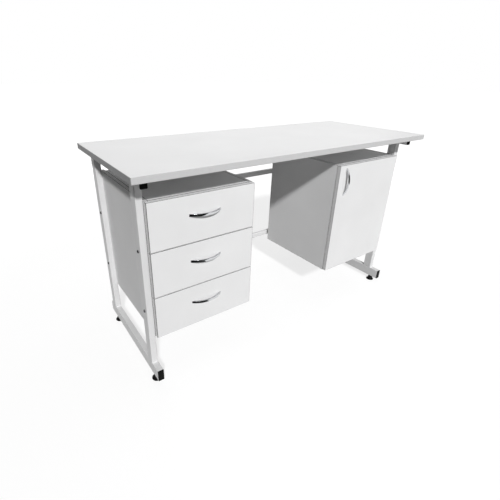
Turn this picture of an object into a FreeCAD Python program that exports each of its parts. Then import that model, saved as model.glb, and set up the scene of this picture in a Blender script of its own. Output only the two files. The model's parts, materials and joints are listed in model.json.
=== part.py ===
import FreeCAD, Part
import math
import os

# Laboratory table: two steel end frames carry a work top, a drawer pedestal and a door pedestal.
# Millimetres, +X to the right, +Y to the back, +Z up, origin on the floor under the middle of the top.

V = FreeCAD.Vector
ALONG_X = V(1, 0, 0)
ALONG_Y = V(0, 1, 0)
ALONG_Z = V(0, 0, 1)

# Work top
top_length = 1500.0
top_depth = 600.0
top_height = 860.0
top_thickness = 22.0
top_corner = 4.0
band_thickness = 2.0

# Steel end frames and rear rails
tube_width = 25.0
tube_wall = 1.5
tube_corner = 3.0
end_overhang = 40.0
post_depth = 45.0
foot_rail_height = 50.0
foot_rail_floor_gap = 27.0
top_rail_height = 30.0
rail_front_setback = 42.5
rail_rear_setback = 0.0
front_post_setback = 96.0
rear_post_setback = 19.0
rear_rail_height = 25.0
rear_rail_depth = 20.0
upper_rear_rail_drop = 234.0
lower_rear_rail_level = 224.0

# Plastic caps in the rail ends
cap_thickness = 2.5
cap_corner = 1.8
cap_plug_length = 16.0
cap_clearance = 0.15

# Levelling feet and the inserts that they screw into
foot_front_inset = 47.5
foot_rear_inset = 62.0
foot_base_radius = 20.0
foot_base_thickness = 3.5
foot_base_round = 1.5
foot_shoulder_radius = 15.5
foot_neck_radius = 9.5
foot_body_height = 25.0
stud_radius = 4.0
stud_length = 32.0
insert_radius = 5.5
insert_length = 14.0
insert_flange_radius = 8.0
insert_flange_thickness = 1.0

# Screws from the top rails into the work top
top_screw_shares = (0.15, 0.5, 0.85)
top_screw_radius = 2.4
top_screw_bite = 14.0
top_screw_head_radius = 4.5
top_screw_head_height = 3.0
screw_access_radius = 6.0

# Bolts and sleeve nuts that hold the pedestals between the posts
bolt_radius = 3.0
bolt_head_radius = 6.0
bolt_head_height = 3.6
bolt_head_round = 2.0
bolt_socket_width = 4.0
bolt_socket_depth = 2.2
bolt_tip_margin = 2.0
bolt_slide_gap = 3.5
rear_bolt_edge = 12.0
nut_radius = 4.0
nut_flange_radius = 7.0
nut_flange_thickness = 1.5

# Pedestal carcasses
pedestal_width = 440.0
pedestal_floor_gap = 204.5
pedestal_top_gap = 87.0
panel_thickness = 16.0
back_thickness = 3.0
back_rail_gap = 23.0
side_rail_gap = 1.0

# Drawer fronts and door
front_thickness = 16.0
front_gap = 2.0
front_reveal = 1.5
drawer_gap = 3.0
drawer_count = 3

# Drawer boxes
box_wall = 12.0
box_rear_gap = 21.0
box_head_room = 31.0
box_lift = 22.0
drawer_bottom_thickness = 3.2
groove_lift = 12.0
groove_depth = 6.0

# Telescopic drawer slides
slide_rear_gap = 14.0
slide_height = 35.0
slide_thickness = 12.7
slide_sheet = 1.2
slide_race = 2.8
slide_play = 0.4
slide_setback = 4.0

# Bow handles
handle_length = 132.0
handle_reach = 23.0
handle_band = 6.0
handle_foot = 10.0
handle_height = 11.0
handle_edge = 1.6
drawer_handle_lift = 16.0
door_handle_inset = 47.0
door_handle_drop = 81.0

# Shelf in the door pedestal
shelf_height = 250.0
shelf_side_gap = 1.0
shelf_front_setback = 14.0
shelf_rear_gap = 5.0
shelf_pin_radius = 2.5
shelf_pin_flat = 2.0
shelf_pin_depth = 10.0
shelf_pin_reach = 9.0
shelf_pin_inset = 50.0

# Concealed door hinges
hinge_end_distance = 72.0
cup_radius = 17.5
cup_depth = 12.0
cup_sheet = 1.0
cup_edge_distance = 5.0
cup_wing_length = 52.0
cup_wing_width = 17.0
cup_pin_inset = 9.5
cup_pin_sink = 2.0
hinge_pin_radius = 1.4
link_thickness = 2.4
link_eye_radius = 2.7
link_height = 6.0
link_hook_inset = 3.8
link_hook_sink = 2.9
arm_pin_offset = 19.5
arm_pin_setback = 12.0
arm_width = 14.0
arm_sheet = 1.5
arm_crown = 18.0
arm_shoulder = 30.0
arm_rear = 75.0
arm_nose_radius = 4.5
plate_thickness = 3.0
plate_width = 18.0
plate_front = 22.0
plate_rear = 78.0
plate_wing_thickness = 2.0
plate_wing_length = 48.0
plate_wing_width = 14.0
plate_wing_setback = 37.0
saddle_front = 45.0
saddle_rear = 70.0
saddle_play = 0.3

# Flat sides of round pieces, few on the small ones
small_sides = 8
fine_sides = 20

# Clearances and the overrun of every cut
fit_clearance = 0.1
pin_clearance = 0.05
cut_overrun = 5.0

# Levels and faces that follow from the sizes above
top_underside = top_height - top_thickness
top_rail_level = top_underside - top_rail_height
foot_rail_top = foot_rail_floor_gap + foot_rail_height
frame_outer = top_length / 2 - end_overhang
frame_inner = frame_outer - tube_width
frame_middle = frame_outer - tube_width / 2
rail_front = rail_front_setback + cap_thickness - top_depth / 2
rail_rear = top_depth / 2 - rail_rear_setback - cap_thickness
rail_length = rail_rear - rail_front
front_post_face = front_post_setback - top_depth / 2
front_post_middle = front_post_face + post_depth / 2
rear_post_face = top_depth / 2 - rear_post_setback
rear_post_middle = rear_post_face - post_depth / 2
rear_rail_front = rear_post_face - rear_rail_depth
upper_rear_rail_level = top_underside - upper_rear_rail_drop
foot_front = rail_front - cap_thickness + foot_front_inset
foot_rear = rail_rear + cap_thickness - foot_rear_inset
carcass_front = front_post_face
carcass_rear = rear_rail_front - back_rail_gap - back_thickness
outer_side_rear = rear_rail_front - side_rail_gap
carcass_level = pedestal_floor_gap
carcass_top = top_underside - pedestal_top_gap
carcass_height = carcass_top - carcass_level
outer_face = frame_inner
inner_face = frame_inner - pedestal_width
room_outer = outer_face - panel_thickness
room_inner = inner_face + panel_thickness
front_back = carcass_front - front_gap
front_face = front_back - front_thickness
front_outer = outer_face - front_reveal
front_inner = inner_face + front_reveal
fronts_level = carcass_level + front_reveal
fronts_height = carcass_height - 2 * front_reveal
drawer_front_height = (fronts_height - (drawer_count - 1) * drawer_gap) / drawer_count
drawer_pitch = drawer_front_height + drawer_gap
box_rear = carcass_rear - box_rear_gap
box_height = drawer_front_height - box_lift - box_head_room
slide_middle = box_lift + box_height / 2
slide_start = carcass_front + slide_setback
slide_length = box_rear - slide_rear_gap - slide_start
lower_bolt_level = fronts_level + slide_middle + slide_height / 2 + nut_flange_radius + bolt_slide_gap
upper_bolt_level = fronts_level + fronts_height - drawer_front_height - drawer_gap / 2
bolt_places = [
    (y, z)
    for y in (front_post_middle, outer_side_rear - rear_bolt_edge)
    for z in (lower_bolt_level, upper_bolt_level)
]
shelf_level = carcass_level + panel_thickness + shelf_height
hinge_levels = (fronts_level + hinge_end_distance, fronts_level + fronts_height - hinge_end_distance)
arm_pin = (room_outer - arm_pin_offset, carcass_front + arm_pin_setback)
cup_pin = (front_outer - cup_pin_inset, front_back - cup_pin_sink)
cup_middle = front_outer - cup_edge_distance - cup_radius

SIDES = (("left", -1), ("right", 1))


def box(x_span, y_span, z_span):
    """Block between pairs of coordinates, in either order."""
    low = V(min(x_span), min(y_span), min(z_span))
    high = V(max(x_span), max(y_span), max(z_span))
    return Part.makeBox(high.x - low.x, high.y - low.y, high.z - low.z, low)


def lay(shape, axis, start):
    """The shape, made upright at the origin, turned along an axis and moved to its start."""
    shape.Placement = FreeCAD.Placement(start, FreeCAD.Rotation(ALONG_Z, axis))
    return shape


def ring_point(radius, level, sides, number):
    """Corner of a flat-sided ring about Z."""
    angle = 2 * math.pi * number / sides
    return V(radius * math.cos(angle), radius * math.sin(angle), level)


def rod(radius, start, end, sides=small_sides):
    """Flat-sided rod between two points, with its corners on the radius."""
    corners = [ring_point(radius, 0, sides, number) for number in range(sides)]
    along = end - start
    return lay(outline_prism(corners, V(0, 0, along.Length)), along, start)


def bore_corner(radius, sides=small_sides):
    """Corner radius of a flat-sided bore whose flats lie on the radius."""
    return radius / math.cos(math.pi / sides)


def drill(radius, start, end, sides=small_sides):
    """Cutter for a hole that clears a rod of the radius at any turn."""
    return rod(bore_corner(radius, sides), start, end, sides)


def turned(points, sides=small_sides):
    """Flat-sided turning about Z from a closed half outline of radius and height."""
    faces = []
    for (start, low), (end, high) in zip(points, points[1:] + points[:1]):
        if start == 0 and end == 0:
            continue
        for number in range(sides):
            corners = [ring_point(start, low, sides, number), ring_point(end, high, sides, number)]
            if end > 0:
                corners.append(ring_point(end, high, sides, number + 1))
            if start > 0:
                corners.append(ring_point(start, low, sides, number + 1))
            faces.append(Part.Face(Part.makePolygon(corners + corners[:1])))
    return Part.Solid(Part.makeShell(faces)).removeSplitter()


def upright_edges(prism):
    """Edges of an upright prism that run along Z."""
    return [e for e in prism.Edges if e.Vertexes[0].Z != e.Vertexes[1].Z]


def rounded_prism(width, depth, radius, length):
    """Upright prism with a rounded rectangular section."""
    prism = Part.makeBox(width, depth, length, V(-width / 2, -depth / 2, 0))
    if radius <= 0:
        return prism
    return prism.makeFillet(radius, upright_edges(prism))


def tube(width, depth, length):
    """Upright rectangular steel tube."""
    outside = rounded_prism(width, depth, tube_corner, length)
    inside = rounded_prism(width - 2 * tube_wall, depth - 2 * tube_wall, 0, length)
    return outside.cut(inside)


def outline_prism(points, depth_vector):
    """Solid swept from a straight-sided outline."""
    return Part.Face(Part.makePolygon(points + points[:1])).extrude(depth_vector)


def cut_all(shape, tools):
    """The shape with every tool cut out of it."""
    for tool in tools:
        shape = shape.cut(tool)
    return shape


def fuse_all(shapes):
    """One clean solid from touching shapes."""
    return shapes[0].multiFuse(shapes[1:]).removeSplitter().Solids[0]


def across(side, near, far):
    """Span in X on the left or the right half."""
    return (side * near, side * far)


def bolt_holes(side, radius):
    """Drills along X at each bolt of one pedestal."""
    reach = outer_face - pedestal_width / 2
    return [
        drill(radius, V(side * reach, y, z), V(side * (frame_outer + cut_overrun), y, z))
        for y, z in bolt_places
    ]


def top_screw_places():
    """Places of the screws along one top rail, between the posts."""
    start = front_post_face + post_depth
    room = rear_post_face - post_depth - start
    return [start + share * room for share in top_screw_shares]


def work_top():
    """Chipboard panel with pilot holes, and its edge band."""
    core = rounded_prism(
        top_length - 2 * band_thickness,
        top_depth - 2 * band_thickness,
        0,
        top_thickness,
    )
    whole = rounded_prism(top_length, top_depth, top_corner, top_thickness)
    band = whole.cut(core)
    pilots = [
        drill(
            top_screw_radius + fit_clearance,
            V(side * frame_middle, y, -cut_overrun),
            V(side * frame_middle, y, top_screw_bite + fit_clearance),
        )
        for _, side in SIDES
        for y in top_screw_places()
    ]
    seat = V(0, 0, top_underside)
    return {
        "top_panel": [cut_all(core, pilots).translated(seat)],
        "top_edge_band": [band.translated(seat)],
    }


def post(side, middle):
    """Upright post with bolt holes through it."""
    height = top_rail_level - foot_rail_top
    blank = lay(tube(tube_width, post_depth, height), ALONG_Z, V(side * frame_middle, middle, foot_rail_top))
    return cut_all(blank, bolt_holes(side, bolt_radius + fit_clearance))


def foot_rail(side):
    """Foot rail with holes for the inserts in its lower wall."""
    start = V(side * frame_middle, rail_front, foot_rail_floor_gap + foot_rail_height / 2)
    blank = lay(tube(tube_width, foot_rail_height, rail_length), ALONG_Y, start)
    holes = [
        drill(
            insert_radius + fit_clearance,
            V(side * frame_middle, y, foot_rail_floor_gap - cut_overrun),
            V(side * frame_middle, y, foot_rail_floor_gap + foot_rail_height / 2),
        )
        for y in (foot_front, foot_rear)
    ]
    return cut_all(blank, holes)


def top_rail(side):
    """Top rail with access holes below and screw holes above."""
    middle_level = top_rail_level + top_rail_height / 2
    start = V(side * frame_middle, rail_front, middle_level)
    rail = lay(tube(tube_width, top_rail_height, rail_length), ALONG_Y, start)
    for y in top_screw_places():
        middle = V(side * frame_middle, y, middle_level)
        below = V(side * frame_middle, y, top_rail_level - cut_overrun)
        above = V(side * frame_middle, y, top_underside + cut_overrun)
        rail = rail.cut(drill(screw_access_radius, below, middle))
        rail = rail.cut(drill(top_screw_radius + fit_clearance, middle, above))
    return rail


def rear_rail(level):
    """Cross rail between the rear posts."""
    start = V(-frame_inner, rear_rail_front + rear_rail_depth / 2, level + rear_rail_height / 2)
    return lay(tube(rear_rail_height, rear_rail_depth, 2 * frame_inner), ALONG_X, start)


def end_cap(height):
    """Cap with its plug upwards and its outer face down."""
    flange = rounded_prism(tube_width, height, 0, cap_thickness)
    flange = flange.makeChamfer(cap_corner, upright_edges(flange))
    inset = 2 * (tube_wall + cap_clearance)
    plug = rounded_prism(tube_width - inset, height - inset, 0, cap_thickness + cap_plug_length)
    return fuse_all([flange, plug])


def rail_end_caps():
    """Caps in both ends of every foot rail and top rail."""
    caps = []
    for _, side in SIDES:
        for level, height in ((foot_rail_floor_gap, foot_rail_height), (top_rail_level, top_rail_height)):
            middle = level + height / 2
            front = V(side * frame_middle, rail_front - cap_thickness, middle)
            rear = V(side * frame_middle, rail_rear + cap_thickness, middle)
            caps.append(lay(end_cap(height), ALONG_Y, front))
            caps.append(lay(end_cap(height), -ALONG_Y, rear))
    return caps


def levelling_foot(x, y):
    """Conical foot with its stud."""
    foot = turned([
        (0, 0),
        (foot_base_radius - foot_base_round, 0),
        (foot_base_radius, foot_base_round),
        (foot_base_radius, foot_base_thickness),
        (foot_shoulder_radius, foot_base_thickness + foot_base_round),
        (foot_neck_radius, foot_body_height),
        (stud_radius, foot_body_height),
        (stud_radius, foot_body_height + stud_length),
        (0, foot_body_height + stud_length),
    ], fine_sides)
    return foot.translated(V(x, y, 0))


def foot_insert(x, y):
    """Flanged insert in the lower wall of a foot rail."""
    bore = bore_corner(stud_radius + fit_clearance)
    flange_level = foot_rail_floor_gap - insert_flange_thickness
    insert = turned([
        (bore, flange_level),
        (insert_flange_radius, flange_level),
        (insert_flange_radius, foot_rail_floor_gap),
        (insert_radius, foot_rail_floor_gap),
        (insert_radius, foot_rail_floor_gap + insert_length),
        (bore, foot_rail_floor_gap + insert_length),
    ])
    return insert.translated(V(x, y, 0))


def top_screw(x, y):
    """Pan-head screw from a top rail into the work top."""
    head_top = top_underside - tube_wall
    screw = turned([
        (0, head_top - top_screw_head_height),
        (top_screw_head_radius, head_top - top_screw_head_height),
        (top_screw_head_radius, head_top),
        (top_screw_radius, head_top),
        (top_screw_radius, top_underside + top_screw_bite),
        (0, top_underside + top_screw_bite),
    ])
    return screw.translated(V(x, y, 0))


def frame_bolt(side, y, z):
    """Button-head bolt through a post into its sleeve nut."""
    shank_length = tube_width + panel_thickness - bolt_tip_margin
    bolt = turned([
        (0, -bolt_head_height),
        (bolt_head_radius - bolt_head_round, -bolt_head_height),
        (bolt_head_radius, bolt_head_round - bolt_head_height),
        (bolt_head_radius, 0),
        (bolt_radius, 0),
        (bolt_radius, shank_length),
        (0, shank_length),
    ])
    corner = bolt_socket_width / math.sqrt(3)
    corners = [
        V(corner * math.cos(k * math.pi / 3), corner * math.sin(k * math.pi / 3), -bolt_head_height)
        for k in range(6)
    ]
    socket = outline_prism(corners, V(0, 0, bolt_socket_depth))
    return lay(bolt.cut(socket), -side * ALONG_X, V(side * frame_outer, y, z))


def sleeve_nut(side, y, z):
    """Flanged sleeve nut in the outer side of a pedestal."""
    bore = bore_corner(bolt_radius + fit_clearance)
    nut = turned([
        (bore, -nut_flange_thickness),
        (nut_flange_radius, -nut_flange_thickness),
        (nut_flange_radius, 0),
        (nut_radius, 0),
        (nut_radius, panel_thickness),
        (bore, panel_thickness),
    ])
    return lay(nut, side * ALONG_X, V(side * room_outer, y, z))


def frame_nodes():
    """Welded frame with its caps, inserts, feet and fasteners."""
    nodes = {}
    for name, side in SIDES:
        nodes[name + "_front_post"] = [post(side, front_post_middle)]
        nodes[name + "_rear_post"] = [post(side, rear_post_middle)]
        nodes[name + "_foot_rail"] = [foot_rail(side)]
        nodes[name + "_top_rail"] = [top_rail(side)]
        nodes[name + "_front_foot"] = [levelling_foot(side * frame_middle, foot_front)]
        nodes[name + "_rear_foot"] = [levelling_foot(side * frame_middle, foot_rear)]
    nodes["upper_rear_rail"] = [rear_rail(upper_rear_rail_level)]
    nodes["lower_rear_rail"] = [rear_rail(lower_rear_rail_level)]
    nodes["rail_end_caps"] = rail_end_caps()
    signs = [side for _, side in SIDES]
    nodes["foot_inserts"] = [foot_insert(s * frame_middle, y) for s in signs for y in (foot_front, foot_rear)]
    nodes["top_screws"] = [top_screw(s * frame_middle, y) for s in signs for y in top_screw_places()]
    nodes["frame_bolts"] = [frame_bolt(s, y, z) for s in signs for y, z in bolt_places]
    nodes["sleeve_nuts"] = [sleeve_nut(s, y, z) for s in signs for y, z in bolt_places]
    return nodes


def carcass(name, side):
    """Two sides with the top and bottom between them, and the back behind.

    The outer side runs on past the back to the rear post, where it is bolted.
    """
    depth = (carcass_front, carcass_rear)
    height = (carcass_level, carcass_top)
    room = across(side, room_inner, room_outer)
    outer_side = box(across(side, room_outer, outer_face), (carcass_front, outer_side_rear), height)
    behind = (carcass_rear, carcass_rear + back_thickness)
    return {
        name + "_outer_side": [cut_all(outer_side, bolt_holes(side, nut_radius + fit_clearance))],
        name + "_inner_side": [box(across(side, inner_face, room_inner), depth, height)],
        name + "_top": [box(room, depth, (carcass_top - panel_thickness, carcass_top))],
        name + "_bottom": [box(room, depth, (carcass_level, carcass_level + panel_thickness))],
        name + "_back": [box(across(side, inner_face, room_outer), behind, height)],
    }


def bow_handle():
    """Arched handle along X on a face in the XZ plane, reaching towards -Y."""
    half = handle_length / 2
    inner_half = half - handle_foot
    outer_arc = Part.Arc(V(-half, 0, 0), V(0, -handle_reach, 0), V(half, 0, 0))
    inner_arc = Part.Arc(V(inner_half, 0, 0), V(0, handle_band - handle_reach, 0), V(-inner_half, 0, 0))
    right_foot = Part.LineSegment(V(half, 0, 0), V(inner_half, 0, 0))
    left_foot = Part.LineSegment(V(-inner_half, 0, 0), V(-half, 0, 0))
    rim = Part.Wire([g.toShape() for g in (outer_arc, right_foot, inner_arc, left_foot)])
    bow = Part.Face(rim).extrude(V(0, 0, handle_height)).translated(V(0, 0, -handle_height / 2))
    long_edges = [e for e in bow.Edges if e.Length > 2 * (half - handle_foot)]
    return bow.makeChamfer(handle_edge, long_edges)


def drawer_level(number):
    """Lower edge of a drawer front, counted from the top."""
    return fronts_level + (drawer_count - number) * drawer_pitch


def drawer(number):
    """Front, box, bottom and handle of one drawer in the left pedestal."""
    level = drawer_level(number)
    box_level = level + box_lift
    box_span = (box_level, box_level + box_height)
    left = slide_thickness - room_outer
    right = -room_inner - slide_thickness
    walls = [
        box((left, left + box_wall), (front_back, box_rear), box_span),
        box((right - box_wall, right), (front_back, box_rear), box_span),
        box((left + box_wall, right - box_wall), (box_rear - box_wall, box_rear), box_span),
    ]
    front = box((-front_outer, -front_inner), (front_face, front_back), (level, level + drawer_front_height))
    groove_level = box_level + groove_lift
    groove = box(
        (left + box_wall - groove_depth, right - box_wall + groove_depth),
        (front_back - groove_depth, box_rear - box_wall + groove_depth),
        (groove_level, groove_level + drawer_bottom_thickness + 2 * fit_clearance),
    )
    bottom = box(
        (left + box_wall - groove_depth + fit_clearance, right - box_wall + groove_depth - fit_clearance),
        (front_back - groove_depth + fit_clearance, box_rear - box_wall + groove_depth - fit_clearance),
        (groove_level + fit_clearance, groove_level + fit_clearance + drawer_bottom_thickness),
    )
    handle_level = level + drawer_front_height / 2 + drawer_handle_lift
    handle_place = V(-(front_outer + front_inner) / 2, front_face, handle_level)
    name = "drawer_%d" % number
    return {
        name + "_front": [front.cut(groove)],
        name + "_walls": [wall.cut(groove) for wall in walls],
        name + "_bottom": [bottom],
        name + "_handle": [bow_handle().translated(handle_place)],
    }


def channel(web_x, lip_x, half_height, web, flange, middle):
    """Open channel along Y with its web upright and its flanges reaching to the lip."""
    inward = math.copysign(web, lip_x - web_x)
    low = middle - half_height
    high = middle + half_height
    outline = [
        V(web_x, slide_start, low),
        V(lip_x, slide_start, low),
        V(lip_x, slide_start, low + flange),
        V(web_x + inward, slide_start, low + flange),
        V(web_x + inward, slide_start, high - flange),
        V(lip_x, slide_start, high - flange),
        V(lip_x, slide_start, high),
        V(web_x, slide_start, high),
    ]
    return outline_prism(outline, V(0, slide_length, 0))


def slide_members(number):
    """Cabinet, middle and drawer members on both sides of one drawer."""
    middle = drawer_level(number) + slide_middle
    outer_half = slide_height / 2
    middle_half = outer_half - slide_sheet - slide_play
    inner_half = middle_half - slide_race - slide_play
    lip = slide_thickness - slide_sheet - slide_play
    middle_web = slide_sheet + slide_play
    inner_lip = 2 * middle_web
    members = {"cabinet": [], "middle": [], "drawer": []}
    for wall, inward in ((-room_outer, 1), (-room_inner, -1)):
        at = [wall + inward * offset for offset in (0, lip, middle_web, slide_thickness, inner_lip)]
        members["cabinet"].append(channel(at[0], at[1], outer_half, slide_sheet, slide_sheet, middle))
        members["middle"].append(channel(at[2], at[1], middle_half, slide_sheet, slide_race, middle))
        members["drawer"].append(channel(at[3], at[4], inner_half, slide_sheet, slide_sheet, middle))
    return members


def drawer_pedestal():
    """Left pedestal: carcass, drawers and slides."""
    nodes = carcass("drawer_unit", -1)
    nodes["slide_cabinet_members"] = []
    for number in range(1, drawer_count + 1):
        nodes.update(drawer(number))
        members = slide_members(number)
        nodes["slide_cabinet_members"] += members["cabinet"]
        nodes["slide_%d_middle_members" % number] = members["middle"]
        nodes["drawer_%d_slide_members" % number] = members["drawer"]
    return nodes


def shelf_pins():
    """Flat-topped pins in the sides of the door pedestal, each with its hole."""
    level = shelf_level - shelf_pin_flat
    pins = []
    for wall, inward in ((room_inner, 1), (room_outer, -1)):
        for y in (carcass_front + shelf_front_setback + shelf_pin_inset, carcass_rear - shelf_pin_inset):
            start = V(wall - inward * shelf_pin_depth, y, level)
            end = V(wall + inward * shelf_pin_reach, y, level)
            flat = box(
                (start.x, end.x),
                (y - shelf_pin_radius, y + shelf_pin_radius),
                (shelf_level, shelf_level + shelf_pin_radius),
            )
            pin = rod(shelf_pin_radius, start, end).cut(flat)
            hole = drill(shelf_pin_radius + fit_clearance, start, end)
            pins.append((pin, hole))
    return pins


def hinge_cup(level):
    """Cup with its wings behind the door, and the pin across it."""
    middle = V(cup_middle, front_back, level)
    floor = V(cup_middle, front_back - cup_depth, level)
    wing_front = front_back + cup_sheet
    shell = rod(cup_radius, floor, middle, fine_sides)
    wings = box(
        (cup_middle - cup_wing_width / 2, cup_middle + cup_wing_width / 2),
        (front_back, wing_front),
        (level - cup_wing_length / 2, level + cup_wing_length / 2),
    )
    hollow_start = floor + cup_sheet * ALONG_Y
    hollow = rod(cup_radius - cup_sheet, hollow_start, middle + cut_overrun * ALONG_Y, fine_sides)
    pin_edge = cup_pin[0] - cup_middle + hinge_pin_radius
    pin_half = math.sqrt(cup_radius ** 2 - pin_edge ** 2)
    ends = [V(cup_pin[0], cup_pin[1], level + way * pin_half) for way in (-1, 1)]
    cup = fuse_all([shell, wings]).cut(hollow)
    hole = drill(hinge_pin_radius + pin_clearance, ends[0], ends[1])
    return [cup.cut(hole), rod(hinge_pin_radius, ends[0], ends[1])]


def hinge_link(level):
    """Hooked link from the arm pin to the cup pin."""
    low = level - link_height / 2
    up = V(0, 0, link_height)
    places = [
        V(cup_pin[0], cup_pin[1], low),
        V(cup_pin[0] - link_hook_inset, cup_pin[1] - link_hook_sink, low),
        V(arm_pin[0], arm_pin[1], low),
    ]
    pieces = []
    for start, end in zip(places, places[1:]):
        beside = (end - start).cross(ALONG_Z).normalize() * (link_thickness / 2)
        pieces.append(outline_prism([start + beside, end + beside, end - beside, start - beside], up))
    pieces.append(rod(link_thickness / 2, places[1], places[1] + up))
    pieces += [rod(link_eye_radius, place, place + up) for place in (places[0], places[2])]
    bores = [drill(hinge_pin_radius + fit_clearance, place, place + up) for place in (places[0], places[2])]
    return cut_all(fuse_all(pieces), bores)


def hinge_arm(level):
    """Channel-shaped arm on the mounting plate, with the pin in its nose."""
    def at(inward, back):
        return V(room_outer - inward, carcass_front + back, level - arm_width / 2)

    outline = [
        at(plate_thickness, arm_rear),
        at(arm_crown, arm_rear),
        at(arm_crown, arm_shoulder),
        at(arm_pin_offset + arm_nose_radius, arm_pin_setback),
        at(arm_pin_offset - arm_nose_radius, arm_pin_setback),
        at(plate_thickness, arm_shoulder),
    ]
    width = V(0, 0, arm_width)
    nose = V(arm_pin[0], arm_pin[1], level - arm_width / 2)
    body = fuse_all([outline_prism(outline, width), rod(arm_nose_radius, nose, nose + width)])
    gap = (level + arm_sheet - arm_width / 2, level + arm_width / 2 - arm_sheet)
    rear_room = box(
        (room_outer, room_outer - arm_crown + arm_sheet),
        (carcass_front + arm_shoulder, carcass_front + arm_rear + cut_overrun),
        gap,
    )
    nose_room = box(
        (room_outer, arm_pin[0] - 2 * arm_nose_radius),
        (arm_pin[1] - 2 * arm_nose_radius, carcass_front + arm_shoulder),
        gap,
    )
    pin = rod(hinge_pin_radius, nose, nose + width)
    hole = drill(hinge_pin_radius + pin_clearance, nose, nose + width)
    return [cut_all(body, [rear_room, nose_room, hole]), pin]


def hinge_plate(level):
    """Mounting plate with screw wings and the saddle inside the arm."""
    def block(inward, front, rear, length):
        return box(
            (room_outer, room_outer - inward),
            (carcass_front + front, carcass_front + rear),
            (level - length / 2, level + length / 2),
        )

    wing_span = (plate_wing_setback - plate_wing_width / 2, plate_wing_setback + plate_wing_width / 2)
    saddle_height = arm_crown - arm_sheet - saddle_play
    saddle_width = arm_width - 2 * (arm_sheet + saddle_play)
    return fuse_all([
        block(plate_thickness, plate_front, plate_rear, plate_width),
        block(plate_wing_thickness, wing_span[0], wing_span[1], plate_wing_length),
        block(saddle_height, saddle_front, saddle_rear, saddle_width),
    ])


def door_pedestal():
    """Right pedestal: carcass, shelf, hinges and door."""
    nodes = carcass("cabinet", 1)
    pins = shelf_pins()
    for name in ("cabinet_outer_side", "cabinet_inner_side"):
        nodes[name] = [cut_all(nodes[name][0], [hole for _, hole in pins])]
    nodes["shelf_pins"] = [pin for pin, _ in pins]
    nodes["cabinet_shelf"] = [box(
        (room_inner + shelf_side_gap, room_outer - shelf_side_gap),
        (carcass_front + shelf_front_setback, carcass_rear - shelf_rear_gap),
        (shelf_level, shelf_level + panel_thickness),
    )]
    nodes["hinge_plates"] = [hinge_plate(level) for level in hinge_levels]
    nodes["hinge_arms"] = [piece for level in hinge_levels for piece in hinge_arm(level)]
    nodes["hinge_links"] = [hinge_link(level) for level in hinge_levels]
    nodes["hinge_cups"] = [piece for level in hinge_levels for piece in hinge_cup(level)]
    door_span = (fronts_level, fronts_level + fronts_height)
    panel = box((front_inner, front_outer), (front_face, front_back), door_span)
    recesses = [
        drill(
            cup_radius + fit_clearance,
            V(cup_middle, front_back - cup_depth - fit_clearance, level),
            V(cup_middle, front_back + cut_overrun, level),
            fine_sides,
        )
        for level in hinge_levels
    ]
    nodes["door_panel"] = [cut_all(panel, recesses)]
    upright = bow_handle().rotate(V(0, 0, 0), ALONG_Y, 90)
    place = V(front_inner + door_handle_inset, front_face, fronts_level + fronts_height - door_handle_drop)
    nodes["door_handle"] = [upright.translated(place)]
    return nodes


def main():
    os.makedirs("parts", exist_ok=True)
    for nodes in (work_top(), frame_nodes(), drawer_pedestal(), door_pedestal()):
        for name, solids in nodes.items():
            shape = solids[0] if len(solids) == 1 else Part.makeCompound(solids)
            shape.exportStep("parts/%s.step" % name)


main()
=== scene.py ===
import json
import math
from collections import namedtuple

import bmesh
import bpy
from mathutils import Matrix, Vector


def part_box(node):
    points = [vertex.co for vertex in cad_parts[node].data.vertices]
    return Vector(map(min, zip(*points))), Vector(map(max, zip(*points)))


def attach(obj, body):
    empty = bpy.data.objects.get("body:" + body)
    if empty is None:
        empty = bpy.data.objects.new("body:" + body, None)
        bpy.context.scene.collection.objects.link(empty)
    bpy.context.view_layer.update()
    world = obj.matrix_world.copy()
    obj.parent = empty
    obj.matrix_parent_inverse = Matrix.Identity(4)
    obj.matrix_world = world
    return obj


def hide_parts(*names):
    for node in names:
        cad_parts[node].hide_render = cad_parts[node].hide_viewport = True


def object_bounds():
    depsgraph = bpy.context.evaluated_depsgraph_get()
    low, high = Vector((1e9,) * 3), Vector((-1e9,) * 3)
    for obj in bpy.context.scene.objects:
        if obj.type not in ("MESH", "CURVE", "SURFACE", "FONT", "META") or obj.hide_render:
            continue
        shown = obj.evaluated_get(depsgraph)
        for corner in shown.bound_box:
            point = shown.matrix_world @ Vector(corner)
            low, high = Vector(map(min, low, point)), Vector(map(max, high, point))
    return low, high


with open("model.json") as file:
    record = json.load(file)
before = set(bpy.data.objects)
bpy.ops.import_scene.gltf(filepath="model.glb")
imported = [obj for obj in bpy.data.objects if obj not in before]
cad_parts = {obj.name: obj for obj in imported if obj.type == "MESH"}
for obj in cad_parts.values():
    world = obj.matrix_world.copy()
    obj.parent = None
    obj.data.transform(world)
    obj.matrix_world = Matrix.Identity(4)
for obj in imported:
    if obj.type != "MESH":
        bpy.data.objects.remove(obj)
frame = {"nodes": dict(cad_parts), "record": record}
cad_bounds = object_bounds()

# Laboratory table: the finish of every panel, tube and fitting, with a studio around it.
# Metres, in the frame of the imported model.

MM = 0.001
NODES = frame["nodes"]
DRAWERS = (1, 2, 3)

# Edges and rounds
# Width of the near-black edge line, partly the band's joint and partly painted shade
seam_and_shade_width = 1.0 * MM
line_segments = 2
line_profile = 1.0
panel_round = 1.3 * MM
side_round = 0.5 * MM
cap_round = 1.0 * MM
sheet_round = 0.3 * MM
round_segments = 3
weld_distance = 0.005 * MM
flat_edge_angle = math.radians(35)
square_edge_angle = math.radians(60)

# Faces: least part of a normal along an axis, and a node's material numbers
facing_share = 0.5
main_number = 0
band_number = 1
seam_and_shade_number = 2
same_number = -1

# Bow handles
handle_rings = 48
handle_spokes = 48
handle_squareness = 4.5
handle_foot = 10.0 * MM
handle_band = 6.0 * MM

# Turned pieces
turn_steps = 48

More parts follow.
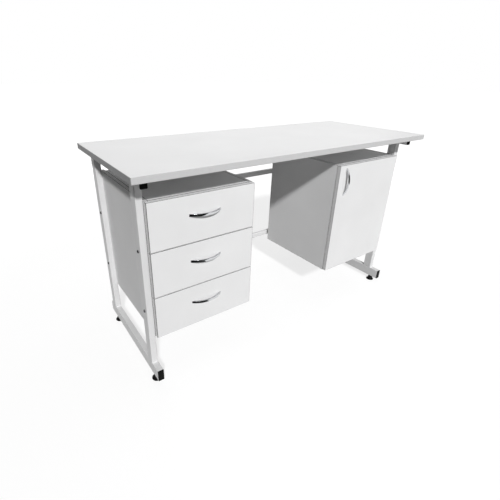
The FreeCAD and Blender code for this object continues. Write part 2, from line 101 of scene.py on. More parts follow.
# Levelling feet, from the floor up
foot_edge = 1.2 * MM
foot_edge_share = 0.3
foot_rim_level = 3.0 * MM
foot_rim_top = 3.8 * MM
foot_shoulder_share = 0.80
foot_shoulder_level = 4.6 * MM
foot_waist_share = 0.74
foot_waist_level = 6.0 * MM
foot_body_height = 25.0 * MM
foot_neck_share = 0.475
foot_collar_height = 4.0 * MM
foot_collar_step = 1.2 * MM
foot_collar_slope = 1.0 * MM
foot_collar_round = 0.6 * MM
stud_radius = 4.0 * MM
stud_chamfer_depth = 0.8 * MM
stud_chamfer_height = 1.0 * MM

# Form of all heads and shanks, in shares of their radius and height
dome_steps = 5
dome_narrowing = 0.42
dome_narrowing_power = 2.2
dome_rise_power = 0.8
head_seat_share = 0.97
head_rim_share = 0.2
shank_tip_share = 0.7
shank_taper_share = 0.4
recess_share = 0.46
recess_floor_share = 0.86
recess_floor_level = 0.35
cross_arm_share = 0.28

# Bolts, nuts and screws
bolt_head = 3.6 * MM
bolt_shank_share = 0.5
sleeve_flange = 1.5 * MM
sleeve_radius = 4.0 * MM
top_screw_head = 3.0 * MM
top_screw_shank_share = 0.45
small_shank_share = 0.5
screw_sink = 0.5 * MM
hinge_screw_radius = 3.2 * MM
hinge_screw_head = 1.2 * MM
plate_wing_thickness = 2.0 * MM
plate_wing_setback = 15.0 * MM
plate_screw_inset = 6.0 * MM
arm_shoulder = 30.0 * MM
arm_crown_step = 6.0 * MM
arm_screw_setbacks = (10.0 * MM, 32.0 * MM)
cup_wing_width = 17.0 * MM
cup_screw_inset = 4.2 * MM
slide_sheet = 1.2 * MM
slide_screw_radius = 3.4 * MM
slide_screw_head = 1.8 * MM
slide_screw_inset = 35.0 * MM

# Nails, their profile in shares of the head's radius and height
nail_pitch = 95.0 * MM
nail_inset = 8.0 * MM
nail_radius = 2.6 * MM
nail_head = 0.7 * MM
nail_profile = ((0.5, -1.0), (0.5, 0.0), (1.0, 0.0), (1.0, 0.5), (0.8, 0.9), (0.3, 1.0))

# Weld beads
bead_width = 3.0 * MM
bead_ripple = 3.2 * MM
bead_least_ripples = 4
bead_valley_share = 0.86
bead_crown_share = 0.46
bead_sink = 0.2 * MM
bead_end_inset = 3.5 * MM

# Camera fitted to the photograph, in a frame of 500 by 500 pixels
frame_pixels = 500.0
focal_pixels = 351.1
centre_right_pixels = -21.4
centre_up_pixels = 9.6
camera_place = Vector((-1.0607, -1.2286, 1.1292))
camera_yaw = -0.6059
camera_pitch = -0.4500
camera_roll = 0.0168
sensor_width = 36.0

# Light, with the place, target, size and power of each soft lamp
key_way = Vector((0.345, 0.76, -0.61))
key_strength = 3.25
key_softness = math.radians(4)
LAMPS = {
    "fill": (Vector((-0.4, -3.0, 1.0)), Vector((0.1, 0.0, 0.5)), 2.0, 6.0),
    "door_fill": (Vector((1.6, -2.8, 0.8)), Vector((0.6, 0.0, 0.5)), 1.5, 8.0),
    "overhead": (Vector((0.3, 0.0, 3.0)), Vector((0.3, 0.0, 0.0)), 2.0, 18.5),
    "rear": (Vector((0.4, 3.5, 0.3)), Vector((0.0, 0.2, 0.4)), 1.4, 30.0),
    "right": (Vector((3.8, 0.8, 0.3)), Vector((0.6, 0.0, 0.4)), 1.4, 26.0),
}
white = (1.0, 1.0, 1.0, 1.0)
ambient_strength = 0.06
backdrop_strength = 1.0

# Floor
floor_size = 60.0
floor_tone = 0.27
floor_roughness = 0.9
floor_shine = 0.0
floor_glow = 0.765
floor_glow_far = 0.92
floor_fade = (1.3, 3.5)

# Dark cards and the flag
card_tone = 0.01
card_roughness = 1.0
card_width = 4.0
camera_card_distance = -0.25
camera_card_height = 2.2
overhead_card_level = 2.6
right_card_place = 2.2
right_card_height = 1.2
floor_card_place = Vector((-1.3, -0.85, 0.002))
floor_card_width = 2.0
floor_card_depth = 0.9
left_flag_place = Vector((-1.7, 0.2, 0.6))
left_flag_width = 2.6
left_flag_height = 1.2

# Finishes: noise in cells per metre, two tones, a range of roughness, and a bump of real depth
Texture = namedtuple("Texture", "cells detail stretch", defaults=((1.0, 1.0, 1.0),))
ramp_start = 0.3
ramp_end = 0.7
LAMINATE = {
    "pattern": Texture(cells=5.0, detail=4.0),
    "grain": Texture(cells=900.0, detail=2.0),
    "bump_strength": 0.12,
    "bump_depth": 0.05 * MM,
}
BAND = {
    "pattern": Texture(cells=60.0, detail=3.0, stretch=(1.0, 1.0, 14.0)),
    "grain": Texture(cells=700.0, detail=2.0),
    "roughness": (0.45, 0.58),
    "bump_strength": 0.1,
    "bump_depth": 0.05 * MM,
    "shine": 0.2,
}
METAL = {
    "bump_strength": 0.06,
    "bump_depth": 0.02 * MM,
    "metallic": 1.0,
}
FINISHES = {
    "top_laminate": {
        **LAMINATE,
        "tones": ((0.83, 0.83, 0.832), (0.86, 0.86, 0.862)),
        "roughness": (0.36, 0.48),
        "shine": 0.35,
    },
    "panel_laminate": {
        **LAMINATE,
        "tones": ((0.75, 0.75, 0.752), (0.785, 0.785, 0.787)),
        "roughness": (0.40, 0.52),
        "shine": 0.12,
    },
    "edge_band": {**BAND, "tones": ((0.54, 0.54, 0.542), (0.59, 0.59, 0.592))},
    "panel_band": {**BAND, "tones": ((0.66, 0.66, 0.662), (0.71, 0.71, 0.712))},
    # Painted shade: darker band tone for the work top's two short ends
    "painted_shade_end_band": {**BAND, "tones": ((0.3, 0.3, 0.302), (0.35, 0.35, 0.352))},
    # Near-black tone of the edge lines and bevels: partly the band's joint line, partly painted shade
    "seam_line_and_painted_shade": {**BAND, "tones": ((0.06, 0.06, 0.061), (0.09, 0.09, 0.091))},
    "white_steel": {
        "tones": ((0.68, 0.68, 0.682), (0.72, 0.72, 0.722)),
        "pattern": Texture(cells=9.0, detail=3.0),
        "grain": Texture(cells=420.0, detail=2.0),
        "roughness": (0.34, 0.46),
        "bump_strength": 0.18,
        "bump_depth": 0.12 * MM,
    },
    "black_plastic": {
        "tones": ((0.0015, 0.0015, 0.0015), (0.003, 0.003, 0.003)),
        "pattern": Texture(cells=30.0, detail=3.0),
        "grain": Texture(cells=1500.0, detail=2.0),
        "roughness": (0.48, 0.62),
        "bump_strength": 0.2,
        "bump_depth": 0.05 * MM,
        "shine": 0.1,
    },
    "zinc_steel": {
        **METAL,
        "tones": ((0.50, 0.51, 0.53), (0.64, 0.65, 0.67)),
        "pattern": Texture(cells=90.0, detail=3.0, stretch=(1.0, 6.0, 1.0)),
        "roughness": (0.256, 0.384),
    },
    "dark_bolt": {
        **METAL,
        "tones": ((0.06, 0.06, 0.065), (0.11, 0.11, 0.115)),
        "pattern": Texture(cells=300.0, detail=3.0),
        "roughness": (0.304, 0.456),
    },
    "chrome": {
        **METAL,
        "tones": ((0.60, 0.61, 0.63), (0.68, 0.69, 0.70)),
        "pattern": Texture(cells=220.0, detail=3.0),
        "roughness": (0.072, 0.108),
    },
    "white_hardboard": {
        "tones": ((0.74, 0.74, 0.725), (0.79, 0.79, 0.775)),
        "pattern": Texture(cells=120.0, detail=5.0, stretch=(1.0, 1.0, 3.0)),
        "roughness": (0.42, 0.58),
        "bump_strength": 0.12,
        "bump_depth": 0.08 * MM,
    },
}
plain_shine = 0.5


def new_material(name):
    """Node material with its node tree and shader."""
    material = bpy.data.materials.new(name)
    material.use_nodes = True
    tree = material.node_tree
    return material, tree, tree.nodes["Principled BSDF"]


def noise(tree, texture):
    """Noise over an object, in the object's own coordinates."""
    coordinates = tree.nodes.new("ShaderNodeTexCoord")
    mapping = tree.nodes.new("ShaderNodeMapping")
    mapping.inputs["Scale"].default_value = texture.stretch
    tree.links.new(coordinates.outputs["Object"], mapping.inputs["Vector"])
    node = tree.nodes.new("ShaderNodeTexNoise")
    node.inputs["Scale"].default_value = texture.cells
    node.inputs["Detail"].default_value = texture.detail
    tree.links.new(mapping.outputs["Vector"], node.inputs["Vector"])
    return node.outputs["Fac"]


def ramp(tree, factor, low, high):
    """Colour between two grey or tinted tones, driven by a factor."""
    node = tree.nodes.new("ShaderNodeValToRGB")
    first, last = node.color_ramp.elements
    first.position = ramp_start
    first.color = (*low, 1.0)
    last.position = ramp_end
    last.color = (*high, 1.0)
    tree.links.new(factor, node.inputs["Fac"])
    return node.outputs["Color"]


def spread(tree, factor, low, high):
    """Number between two values, driven by a factor."""
    node = tree.nodes.new("ShaderNodeMapRange")
    node.inputs["To Min"].default_value = low
    node.inputs["To Max"].default_value = high
    tree.links.new(factor, node.inputs["Value"])
    return node.outputs["Result"]


def add_bump(tree, shader, height, strength, depth):
    """Bump of a real depth on the shader's normal."""
    node = tree.nodes.new("ShaderNodeBump")
    node.inputs["Strength"].default_value = strength
    node.inputs["Distance"].default_value = depth
    tree.links.new(height, node.inputs["Height"])
    tree.links.new(node.outputs["Normal"], shader.inputs["Normal"])


def finish(
    name, tones, pattern, roughness, bump_strength, bump_depth,
    grain=None, shine=plain_shine, metallic=0.0,
):
    """Material with a pattern of two tones. Its grain, or else the pattern, gives roughness and bump."""
    material, tree, shader = new_material(name)
    tone_noise = noise(tree, pattern)
    fine_noise = noise(tree, grain) if grain else tone_noise
    tree.links.new(ramp(tree, tone_noise, *tones), shader.inputs["Base Color"])
    tree.links.new(spread(tree, fine_noise, *roughness), shader.inputs["Roughness"])
    add_bump(tree, shader, fine_noise, bump_strength, bump_depth)
    shader.inputs["Specular IOR Level"].default_value = shine
    shader.inputs["Metallic"].default_value = metallic
    return material


MATERIALS = {name: finish(name, **values) for name, values in FINISHES.items()}


def slot_of(node):
    """Material slot that the record gives a node."""
    for part in frame["record"]["subparts"]:
        if part["node"] == node:
            return part["material_slot"]
    raise KeyError(node)


PANELS = [
    name for name in NODES
    if slot_of(name) == "panel_laminate" and not name.endswith("_walls")
]
ROUNDED = {
    "rail_end_caps": cap_round,
    "top_edge_band": panel_round,
    "slide_cabinet_members": sheet_round,
    "hinge_plates": sheet_round,
    "hinge_arms": sheet_round,
    "hinge_cups": sheet_round,
}


def weld_edges(thing):
    """Join the faces of a node along their edges."""
    weld = thing.modifiers.new("weld", "WELD")
    weld.merge_threshold = weld_distance


def line_edges(thing):
    """Show the edge band's edge as a near-black line round the faces: partly its real joint, partly painted
    shade of the gaps and down-turned edges.
    """
    line = thing.modifiers.new("line", "BEVEL")
    line.width = seam_and_shade_width
    line.segments = line_segments
    line.profile = line_profile
    line.limit_method = "ANGLE"
    line.angle_limit = square_edge_angle
    line.use_clamp_overlap = False
    line.material = seam_and_shade_number


def soften(thing, width, number=same_number, angle=flat_edge_angle):
    """Round the sharp edges of a node without touching its mesh."""
    bevel = thing.modifiers.new("soften", "BEVEL")
    bevel.width = width
    bevel.segments = round_segments
    bevel.limit_method = "ANGLE"
    bevel.angle_limit = angle
    bevel.harden_normals = True
    bevel.material = number


def dress(node, *slots):
    """Give a node the materials of the named slots, the first one everywhere."""
    mesh = NODES[node].data
    mesh.materials.clear()
    for slot in slots:
        mesh.materials.append(MATERIALS[slot])
    for polygon in mesh.polygons:
        polygon.material_index = main_number
    return NODES[node]


def band_faces(thing, has_band):
    """Edge band on the faces whose normal passes a test."""
    for polygon in thing.data.polygons:
        if has_band(polygon.normal):
            polygon.material_index = band_number


def dress_panel(node):
    """Laminate on the two wide faces of a board, edge band on its narrow faces."""
    thing = dress(node, slot_of(node), "panel_band", "seam_line_and_painted_shade")
    low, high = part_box(node)
    size = high - low
    thin = min(range(3), key=lambda axis: size[axis])
    band_faces(thing, lambda normal: abs(normal[thin]) < facing_share)
    weld_edges(thing)
    # The board's bevels and edge lines take the near-black seam tone, partly a joint line and partly painted
    # shade
    if node.endswith("_side"):
        line_edges(thing)
        soften(thing, side_round, seam_and_shade_number, square_edge_angle)
    else:
        soften(thing, panel_round, seam_and_shade_number)


def dress_walls(node):
    """Boards of a drawer box, with edge band along their upper edges."""
    thing = dress(node, slot_of(node), "panel_band")
    band_faces(thing, lambda normal: normal.z > facing_share)


def dress_top_band(node):
    """Band round the work top, with painted shade: a darker tone on the two short ends."""
    thing = dress(node, slot_of(node), "painted_shade_end_band")
    # The short ends take the darker tone of painted shade
    band_faces(thing, lambda normal: abs(normal.x) > facing_share)


def dress_nodes():
    """Materials of every node, and softened edges where they show."""
    for name in NODES:
        if name in PANELS:
            dress_panel(name)
        elif name.endswith("_walls"):
            dress_walls(name)
        elif name == "top_edge_band":
            dress_top_band(name)
        else:
            dress(name, slot_of(name))
        if name in ROUNDED:
            weld_edges(NODES[name])
            soften(NODES[name], ROUNDED[name])


def show(thing):
    """Put an object in the scene."""
    bpy.context.scene.collection.objects.link(thing)


def mesh_object(name, build, slot, body, replaced=()):
    """New piece from a mesh-building function, with its slot and body."""
    shape = bmesh.new()
    build(shape)
    bmesh.ops.recalc_face_normals(shape, faces=shape.faces)
    mesh = bpy.data.meshes.new(name)
    shape.to_mesh(mesh)
    shape.free()
    mesh.materials.append(MATERIALS[slot])
    for polygon in mesh.polygons:
        polygon.use_smooth = True
    mesh.set_sharp_from_angle(angle=flat_edge_angle)
    piece = bpy.data.objects.new(name, mesh)
    show(piece)
    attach(piece, body)
    if replaced:
        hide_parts(*replaced)


def add_loops(shape, rings):
    """Closed skin over rings of points, each ring closed on itself."""
    loops = [[shape.verts.new(point) for point in ring] for ring in rings]
    for first, second in zip(loops, loops[1:]):
        count = len(first)
        for k in range(count):
            after = (k + 1) % count
            shape.faces.new((first[k], first[after], second[after], second[k]))
    shape.faces.new(list(reversed(loops[0])))
    shape.faces.new(loops[-1])


def facing(place, way):
    """Matrix that puts the origin at a place and +Z along a way."""
    return Matrix.Translation(place) @ way.to_track_quat("Z", "Y").to_matrix().to_4x4()


def spun_ring(reach_at, level, turn):
    """Ring of points about Z, each as far out as its angle asks, placed by a matrix."""
    ring = []
    for k in range(turn_steps):
        angle = 2 * math.pi * k / turn_steps
        reach = reach_at(angle)
        ring.append(turn @ Vector((reach * math.cos(angle), reach * math.sin(angle), level)))
    return ring


def circle(radius, level, turn):
    """Ring of points on a circle."""
    return spun_ring(lambda angle: radius, level, turn)


def off_middle(angle, sides):
    """Angle from the middle of the nearest side of a regular outline."""
    step = 2 * math.pi / sides
    return (angle + step / 2) % step - step / 2


def cross_ring(radius, level, turn):
    """Ring of points on the outline of a cross recess."""
    def reach_at(angle):
        off = off_middle(angle, 4)
        side = radius * cross_arm_share / max(abs(math.sin(off)), cross_arm_share)
        return min(radius / math.cos(off), side)

    return spun_ring(reach_at, level, turn)


def hex_ring(radius, level, turn):
    """Ring of points on the outline of a hexagon socket."""
    return spun_ring(lambda angle: radius / math.cos(off_middle(angle, 6)), level, turn)


def lathe(shape, profile, turn):
    """Turned form from radius and height pairs."""
    add_loops(shape, [circle(radius, level, turn) for radius, level in profile])


def arc_point(half, reach, share):
    """Point of an arc in the plane of X and -Y, from one end of its chord to the other."""
    radius = (half * half + reach * reach) / (2 * reach)
    angle = math.asin(half / radius) * share
    return Vector((radius * math.sin(angle), radius - reach - radius * math.cos(angle), 0))


def rounded(angle):
    """Point on the outline of a unit square with well rounded corners."""
    flat = 2 / handle_squareness
    across = math.copysign(abs(math.cos(angle)) ** flat, math.cos(angle))
    up = math.copysign(abs(math.sin(angle)) ** flat, math.sin(angle))
    return across, up


def bow_handle(node, body, along_z):
    """Chrome bow: a strip with rounded edges between two arcs, flush on the front at both ends."""
    low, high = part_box(node)
    size = high - low
    centre = (low + high) / 2
    half = (size.z if along_z else size.x) / 2
    height = size.x if along_z else size.z
    turn = Matrix.Rotation(math.pi / 2, 4, "Y") if along_z else Matrix.Identity(4)
    seat = Matrix.Translation((centre.x, high.y, centre.z)) @ turn

    def build(shape):
        rings = []
        for k in range(handle_rings + 1):
            share = 2 * k / handle_rings - 1
            outer = arc_point(half, size.y, share)
            inner = arc_point(half - handle_foot, size.y - handle_band, share)
            ring = []
            for spoke in range(handle_spokes):
                across, up = rounded(2 * math.pi * spoke / handle_spokes)
                place = (outer + inner) / 2 + (outer - inner) / 2 * across
                ring.append(seat @ (place + Vector((0, 0, height / 2 * up))))
            rings.append(ring)
        add_loops(shape, rings)

    mesh_object(node.replace("handle", "bow_handle"), build, "chrome", body, [node])


def foot_piece(node):
    """Moulded levelling foot: rimmed base, conical body, collar and stud."""
    low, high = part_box(node)
    radius = (high.x - low.x) / 2
    height = high.z - low.z
    neck = radius * foot_neck_share
    collar_level = foot_body_height - foot_collar_height
    seat = Matrix.Translation(((low.x + high.x) / 2, (low.y + high.y) / 2, low.z))

    def build(shape):
        lathe(shape, [
            (radius - foot_edge, 0),
            (radius - foot_edge * foot_edge_share, foot_edge * foot_edge_share),
            (radius, foot_edge),
            (radius, foot_rim_level),
            (radius - foot_edge, foot_rim_top),
            (radius * foot_shoulder_share, foot_shoulder_level),
            (radius * foot_waist_share, foot_waist_level),
            (neck + foot_collar_step, collar_level - foot_collar_slope),
            (neck, collar_level),
            (neck, foot_body_height - foot_collar_round),
            (neck - foot_collar_round, foot_body_height),
            (stud_radius, foot_body_height),
            (stud_radius, height - stud_chamfer_height),
            (stud_radius - stud_chamfer_depth, height),
        ], seat)

    mesh_object(node + "_moulding", build, "black_plastic", node, [node])


def solid_islands(node):
    """Box of each separate solid in a node, in the order of their low corners."""
    shape = bmesh.new()
    shape.from_mesh(NODES[node].data)
    bmesh.ops.remove_doubles(shape, verts=shape.verts, dist=weld_distance)
    todo = set(shape.verts)
    boxes = []
    while todo:
        stack = [todo.pop()]
        group = list(stack)
        while stack:
            for edge in stack.pop().link_edges:
                for vert in edge.verts:
                    if vert in todo:
                        todo.remove(vert)
                        stack.append(vert)
                        group.append(vert)
        low = Vector([min(vert.co[axis] for vert in group) for axis in range(3)])
        high = Vector([max(vert.co[axis] for vert in group) for axis in range(3)])
        boxes.append((low, high))
    shape.free()
    return sorted(boxes, key=lambda pair: tuple(pair[0]))


def fastener(shape, turn, radius, head, shank_radius, shank, recess):
    """Domed head on its seat at the origin, with a recess, and a shank below it."""
    rings = [
        circle(shank_radius * shank_tip_share, -shank, turn),
        circle(shank_radius, -shank + shank_radius * shank_taper_share, turn),
        circle(shank_radius, 0, turn),
        circle(radius * head_seat_share, 0, turn),
        circle(radius, head * head_rim_share, turn),
    ]
    for step in range(1, dome_steps + 1):
        rise = step / dome_steps
        width = 1 - dome_narrowing * rise ** dome_narrowing_power
        level = head_rim_share + (1 - head_rim_share) * rise ** dome_rise_power
        rings.append(circle(radius * width, head * level, turn))
    rings.append(recess(radius * recess_share, head, turn))
    rings.append(recess(radius * recess_share * recess_floor_share, head * recess_floor_level, turn))
    add_loops(shape, rings)


def post_bolts():
    """Domed bolts with hexagon sockets on the outer faces of the posts."""
    def build(shape):
        for low, high in solid_islands("frame_bolts"):
            way = Vector((1 if low.x > 0 else -1, 0, 0))
            middle = (low + high) / 2
            radius = (high.z - low.z) / 2
            seat = middle + way * ((high.x - low.x) / 2 - bolt_head)
            shank = high.x - low.x - bolt_head
            fastener(shape, facing(seat, way), radius, bolt_head, radius * bolt_shank_share, shank, hex_ring)

    mesh_object("post_bolts", build, "dark_bolt", "frame", ["frame_bolts"])


def sleeve_nuts():
    """Flanged sleeve nuts inside the pedestals, which the post bolts screw into."""
    def build(shape):
        for low, high in solid_islands("sleeve_nuts"):
            way = Vector((-1 if low.x > 0 else 1, 0, 0))
            middle = (low + high) / 2
            radius = (high.z - low.z) / 2
            seat = middle + way * ((high.x - low.x) / 2 - sleeve_flange)
            shank = high.x - low.x - sleeve_flange
            fastener(shape, facing(seat, way), radius, sleeve_flange, sleeve_radius, shank, cross_ring)

    mesh_object("sleeve_nut_set", build, "zinc_steel", "frame", ["sleeve_nuts"])


def top_screws():
    """Screws up through the top rails into the work top."""
    def build(shape):
        for low, high in solid_islands("top_screws"):
            radius = (high.x - low.x) / 2
            seat = Vector(((low.x + high.x) / 2, (low.y + high.y) / 2, low.z + top_screw_head))
            shank = high.z - seat.z
            down = facing(seat, Vector((0, 0, -1)))
            fastener(shape, down, radius, top_screw_head, radius * top_screw_shank_share, shank, cross_ring)

    mesh_object("top_screw_set", build, "zinc_steel", "frame", ["top_screws"])


def small_screws(name, body, places, radius, head):
    """Set of cross-head screws, each at a place and along a way."""
    def build(shape):
        for place, way in places:
            shank_radius = radius * small_shank_share
            fastener(shape, facing(place, way), radius, head, shank_radius, screw_sink, cross_ring)

    mesh_object(name, build, "zinc_steel", body)


def hinge_screws():
    """Screws of the mounting plates and arms on the cabinet, and of the cups on the door."""
    inward = Vector((-1, 0, 0))
    fixed = []
    for low, high in solid_islands("hinge_plates"):
        x = high.x - plate_wing_thickness
        y = low.y + plate_wing_setback
        for z in (low.z + plate_screw_inset, high.z - plate_screw_inset):
            fixed.append((Vector((x, y, z)), inward))
    for low, high in solid_islands("hinge_arms"):
        if high.y - low.y > arm_shoulder:
            for setback in arm_screw_setbacks:
                place = Vector((low.x + arm_crown_step, high.y - setback, (low.z + high.z) / 2))
                fixed.append((place, inward))
    small_screws("hinge_plate_screws", "frame", fixed, hinge_screw_radius, hinge_screw_head)
    swung = []
    for low, high in solid_islands("hinge_cups"):
        if high.x - low.x > cup_wing_width:
            for z in (low.z + cup_screw_inset, high.z - cup_screw_inset):
                swung.append((Vector(((low.x + high.x) / 2, high.y, z)), Vector((0, 1, 0))))
    small_screws("hinge_cup_screws", "door", swung, hinge_screw_radius, hinge_screw_head)


def slide_screws(number):
    """Screws in the drawer members of one drawer's slides."""
    drawer = "drawer_%d" % number
    places = []
    for (low, high), way in zip(solid_islands(drawer + "_slide_members"), (-1, 1)):
        x = (low.x if way > 0 else high.x) + way * slide_sheet
        z = (low.z + high.z) / 2
        for y in (low.y + slide_screw_inset, (low.y + high.y) / 2, high.y - slide_screw_inset):
            places.append((Vector((x, y, z)), Vector((way, 0, 0))))
    small_screws(drawer + "_slide_screws", drawer, places, slide_screw_radius, slide_screw_head)


def back_nails(node):
    """Nails along the top, bottom and inner edges of a pedestal's back."""
    low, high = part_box(node)
    inner = low.x if low.x > 0 else high.x
    step_in = 1 if low.x > 0 else -1
    spots = []
    columns = round((high.x - low.x) / nail_pitch)
    rows = round((high.z - low.z) / nail_pitch)
    for k in range(columns + 1):
        x = low.x + nail_inset + (high.x - low.x - 2 * nail_inset) * k / columns
        spots += [(x, low.z + nail_inset), (x, high.z - nail_inset)]
    for k in range(1, rows):
        spots.append((inner + step_in * nail_inset, low.z + (high.z - low.z) * k / rows))
    profile = [(nail_radius * across, nail_head * up) for across, up in nail_profile]

    def build(shape):
        for x, z in spots:
            lathe(shape, profile, facing(Vector((x, high.y, z)), Vector((0, 1, 0))))

    mesh_object(node + "_nails", build, "zinc_steel", "frame")


def bead(shape, start, end, first_face, second_face):
    """Rippled fillet bead in the corner of two faces, from start to end."""
    along = end - start
    count = max(bead_least_ripples, int(along.length / bead_ripple))
    rings = []
    for k in range(count * 2 + 1):
        share = k / (count * 2)
        size = bead_width * (1.0 if k % 2 else bead_valley_share)
        place = start + along * share
        rings.append([
            place - first_face * bead_sink - second_face * bead_sink,
            place + first_face * size - second_face * bead_sink,
            place + (first_face + second_face) * size * bead_crown_share,
            place + second_face * size - first_face * bead_sink,
        ])
    add_loops(shape, rings)


def weld_beads():
    """Painted weld beads where the posts and cross rails meet the tubes."""
    up = Vector((0, 0, 1))

    def build(shape):
        for side in ("left", "right"):
            for post in ("front_post", "rear_post"):
                low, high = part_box("%s_%s" % (side, post))
                for level, way in ((low.z, up), (high.z, -up)):
                    for y, out in ((low.y, -1), (high.y, 1)):
                        start = Vector((low.x + bead_end_inset, y, level))
                        end = Vector((high.x - bead_end_inset, y, level))
                        bead(shape, start, end, way, Vector((0, out, 0)))
        for rail in ("upper_rear_rail", "lower_rear_rail"):
            low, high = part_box(rail)
            for x, way in ((low.x, 1), (high.x, -1)):
                for z, out in ((low.z, -1), (high.z, 1)):
                    start = Vector((x, low.y + bead_end_inset, z))
                    end = Vector((x, high.y - bead_end_inset, z))
                    bead(shape, start, end, Vector((way, 0, 0)), Vector((0, 0, out)))

    mesh_object("weld_beads", build, "white_steel", "frame")


def make_pieces():
    """Pieces that are finer than their solids."""
    for number in DRAWERS:
        bow_handle("drawer_%d_handle" % number, "drawer_%d" % number, False)
    bow_handle("door_handle", "door", True)
    for side in ("left", "right"):
        for end in ("front", "rear"):
            foot_piece("%s_%s_foot" % (side, end))
    post_bolts()
    sleeve_nuts()
    top_screws()
    hinge_screws()
    for number in DRAWERS:
        slide_screws(number)
    back_nails("drawer_unit_back")
    back_nails("cabinet_back")
    weld_beads()


def seen_rays(tree):
    """One for camera, glossy and transmission rays, zero for the rays that light things."""
    path = tree.nodes.new("ShaderNodeLightPath")
    seen = path.outputs["Is Camera Ray"]
    for other in ("Is Glossy Ray", "Is Transmission Ray"):
        either = tree.nodes.new("ShaderNodeMath")
        either.operation = "MAXIMUM"
        tree.links.new(seen, either.inputs[0])
        tree.links.new(path.outputs[other], either.inputs[1])
        seen = either.outputs[0]
    return seen


def rectangle(name, width, height):
    """Flat mesh about its own middle."""
    mesh = bpy.data.meshes.new(name)
    x = width / 2
    y = height / 2
    mesh.from_pydata([(-x, -y, 0), (x, -y, 0), (x, y, 0), (-x, y, 0)], [], [(0, 1, 2, 3)])
    return mesh


def floor_light(tree):
    """Glow of the floor: only for rays that see it, and stronger far from the table."""
    place = tree.nodes.new("ShaderNodeTexCoord")
    reach = tree.nodes.new("ShaderNodeVectorMath")
    reach.operation = "LENGTH"
    tree.links.new(place.outputs["Object"], reach.inputs[0])
    fade = tree.nodes.new("ShaderNodeMapRange")
    fade.interpolation_type = "SMOOTHSTEP"
    fade.inputs["From Min"].default_value = floor_fade[0]
    fade.inputs["From Max"].default_value = floor_fade[1]
    fade.inputs["To Min"].default_value = floor_glow
    fade.inputs["To Max"].default_value = floor_glow_far
    tree.links.new(reach.outputs["Value"], fade.inputs["Value"])
    glow = tree.nodes.new("ShaderNodeMath")
    glow.operation = "MULTIPLY"
    tree.links.new(seen_rays(tree), glow.inputs[0])
    tree.links.new(fade.outputs["Result"], glow.inputs[1])
    return glow.outputs[0]


def make_floor():
    """Floor that shows white and keeps a soft shadow."""
    mesh = rectangle("floor", floor_size, floor_size)
    material, tree, shader = new_material("floor")
    shader.inputs["Base Color"].default_value = (floor_tone, floor_tone, floor_tone, 1)
    shader.inputs["Roughness"].default_value = floor_roughness
    shader.inputs["Specular IOR Level"].default_value = floor_shine
    shader.inputs["Emission Color"].default_value = white
    tree.links.new(floor_light(tree), shader.inputs["Emission Strength"])
    mesh.materials.append(material)
    floor = bpy.data.objects.new("floor", mesh)
    floor.location.z = cad_bounds[0][2]
    show(floor)


def dark_card(name, place, toward, width, height):
    """Dark studio card that shows in reflections only."""
    mesh = rectangle(name, width, height)
    material, _, shader = new_material(name)
    shader.inputs["Base Color"].default_value = (card_tone, card_tone, card_tone, 1)
    shader.inputs["Roughness"].default_value = card_roughness
    mesh.materials.append(material)
    card = bpy.data.objects.new(name, mesh)
    card.matrix_world = facing(place, toward)
    card.visible_camera = False
    card.visible_diffuse = False
    card.visible_shadow = False
    card.visible_transmission = False
    show(card)
    return card


def make_cards():
    """Cards for the dark lines in the chrome, and a flag that also darkens what faces left."""
    away = Vector((camera_place.x, camera_place.y, 0))
    middle = away + away.normalized() * camera_card_distance
    middle.z = camera_card_height / 2
    dark_card("camera_card", middle, -away, card_width, camera_card_height)
    overhead = Vector((0, 0, overhead_card_level))
    dark_card("overhead_card", overhead, Vector((0, 0, -1)), card_width, card_width)
    low_right = Vector((right_card_place, camera_place.y, right_card_height / 2))
    dark_card("right_card", low_right, Vector((-1, 0, 0)), card_width, right_card_height)
    dark_card("floor_card", floor_card_place, Vector((0, 0, 1)), floor_card_width, floor_card_depth)
    flag = dark_card("left_flag", left_flag_place, Vector((1, 0, 0)), left_flag_width, left_flag_height)
    flag.visible_diffuse = True


def shine_along(light, way):
    """Turn a lamp so that it shines along a way."""
    light.rotation_euler = way.to_track_quat("-Z", "Y").to_euler()


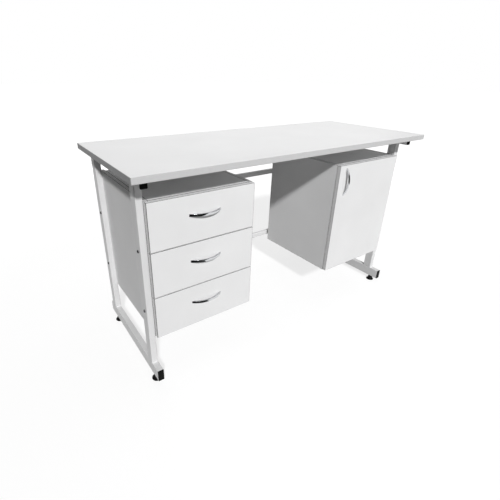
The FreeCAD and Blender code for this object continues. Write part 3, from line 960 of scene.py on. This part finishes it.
def make_lamps():
    """Key light from the front left, and soft lamps round the table."""
    lamp = bpy.data.lights.new("key", "SUN")
    lamp.energy = key_strength
    lamp.angle = key_softness
    key = bpy.data.objects.new("key", lamp)
    shine_along(key, key_way)
    show(key)
    for name, (place, target, size, power) in LAMPS.items():
        lamp = bpy.data.lights.new(name, "AREA")
        lamp.energy = power
        lamp.size = size
        light = bpy.data.objects.new(name, lamp)
        light.visible_glossy = False
        light.location = place
        shine_along(light, target - place)
        show(light)


def make_world():
    """Plain ambient light with a white backdrop."""
    world = bpy.data.worlds.new("studio")
    bpy.context.scene.world = world
    world.use_nodes = True
    tree = world.node_tree
    ambient = tree.nodes["Background"]
    ambient.inputs["Color"].default_value = white
    ambient.inputs["Strength"].default_value = ambient_strength
    backdrop = tree.nodes.new("ShaderNodeBackground")
    backdrop.inputs["Color"].default_value = white
    backdrop.inputs["Strength"].default_value = backdrop_strength
    mix = tree.nodes.new("ShaderNodeMixShader")
    tree.links.new(seen_rays(tree), mix.inputs["Fac"])
    tree.links.new(ambient.outputs[0], mix.inputs[1])
    tree.links.new(backdrop.outputs[0], mix.inputs[2])
    tree.links.new(mix.outputs[0], tree.nodes["World Output"].inputs["Surface"])


def make_camera():
    """Camera at the photograph's place, angle and framing."""
    lens = bpy.data.cameras.new("camera")
    lens.sensor_width = sensor_width
    lens.lens = sensor_width * focal_pixels / frame_pixels
    lens.shift_x = -centre_right_pixels / frame_pixels
    lens.shift_y = -centre_up_pixels / frame_pixels
    forward = Vector((
        -math.sin(camera_yaw) * math.cos(camera_pitch),
        math.cos(camera_yaw) * math.cos(camera_pitch),
        math.sin(camera_pitch),
    ))
    right = Vector((math.cos(camera_yaw), math.sin(camera_yaw), 0))
    up = right.cross(forward)
    rolled_right = math.cos(camera_roll) * right + math.sin(camera_roll) * up
    rolled_up = math.cos(camera_roll) * up - math.sin(camera_roll) * right
    turn = Matrix((rolled_right, rolled_up, -forward)).transposed().to_4x4()
    camera = bpy.data.objects.new("camera", lens)
    camera.matrix_world = Matrix.Translation(camera_place) @ turn
    show(camera)
    bpy.context.scene.camera = camera


dress_nodes()
make_pieces()
make_floor()
make_cards()
make_lamps()
make_world()
make_camera()
bpy.context.scene.view_settings.view_transform = "Standard"
